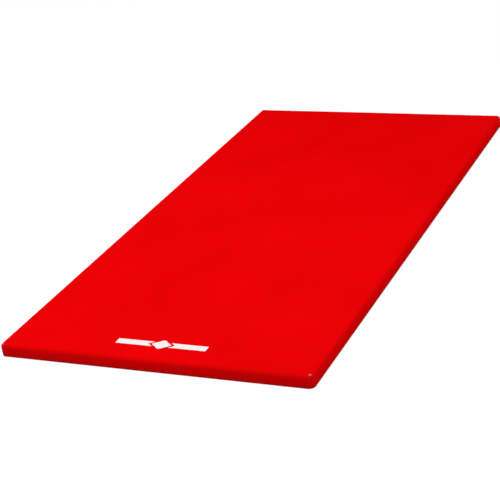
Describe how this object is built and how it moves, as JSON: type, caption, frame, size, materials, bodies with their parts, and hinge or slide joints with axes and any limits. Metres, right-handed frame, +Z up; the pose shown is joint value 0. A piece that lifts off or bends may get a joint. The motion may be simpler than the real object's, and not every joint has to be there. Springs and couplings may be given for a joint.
{
  "type": "gymnastics floor mat",
  "caption": "Flat one-piece gymnastics floor mat: a foam slab in a smooth coated-fabric cover with rolled edges, non-slip base and an end zip.",
  "frame": {"origin": "middle of the mat's footprint on the floor", "axes": "+Z up; +Y along the mat's length, towards the short end with the zip; +X across its width"},
  "size_m": [1, 2.0067, 0.0402],
  "materials": {
    "cover_fabric": "satin",
    "base_fabric": "matte",
    "foam": "matte",
    "zip_tape": "matte",
    "zip_coil": "satin",
    "zip_metal": "satin",
    "ink": "matte"
  },
  "bodies": {
    "root": {"foam_core": "foam", "top_cover": "cover_fabric", "base_panel": "base_fabric", "zip_strip": "cover_fabric", "corner_strip_front_left": "cover_fabric", "corner_strip_front_right": "cover_fabric", "corner_strip_back_left": "cover_fabric", "corner_strip_back_right": "cover_fabric", "zip_tape_upper": "zip_tape", "zip_coil_upper": "zip_coil", "zip_tape_lower": "zip_tape", "zip_coil_lower": "zip_coil", "zip_stop_closed_end": "zip_metal", "zip_patch_left": "cover_fabric", "zip_stop_open_end": "zip_metal", "zip_patch_right": "cover_fabric", "mark_lozenge": "ink", "mark_bar_right": "ink", "mark_bar_left": "ink"},
    "slider": {"zip_slider": "zip_metal"},
    "pull_tab": {"zip_pull_tab": "zip_metal"}
  },
  "joints": [
    {"name": "zip_slide", "type": "slide", "parent": "root", "child": "slider", "axis": [1, 0, 0], "range_m": [0, 0.881]},
    {"name": "zip_pull_hinge", "type": "hinge", "parent": "slider", "child": "pull_tab", "pos_m": [-0.4405, 1.0043, 0.0143], "axis": [0, 0, 1], "range_deg": [0, 180]}
  ]
}
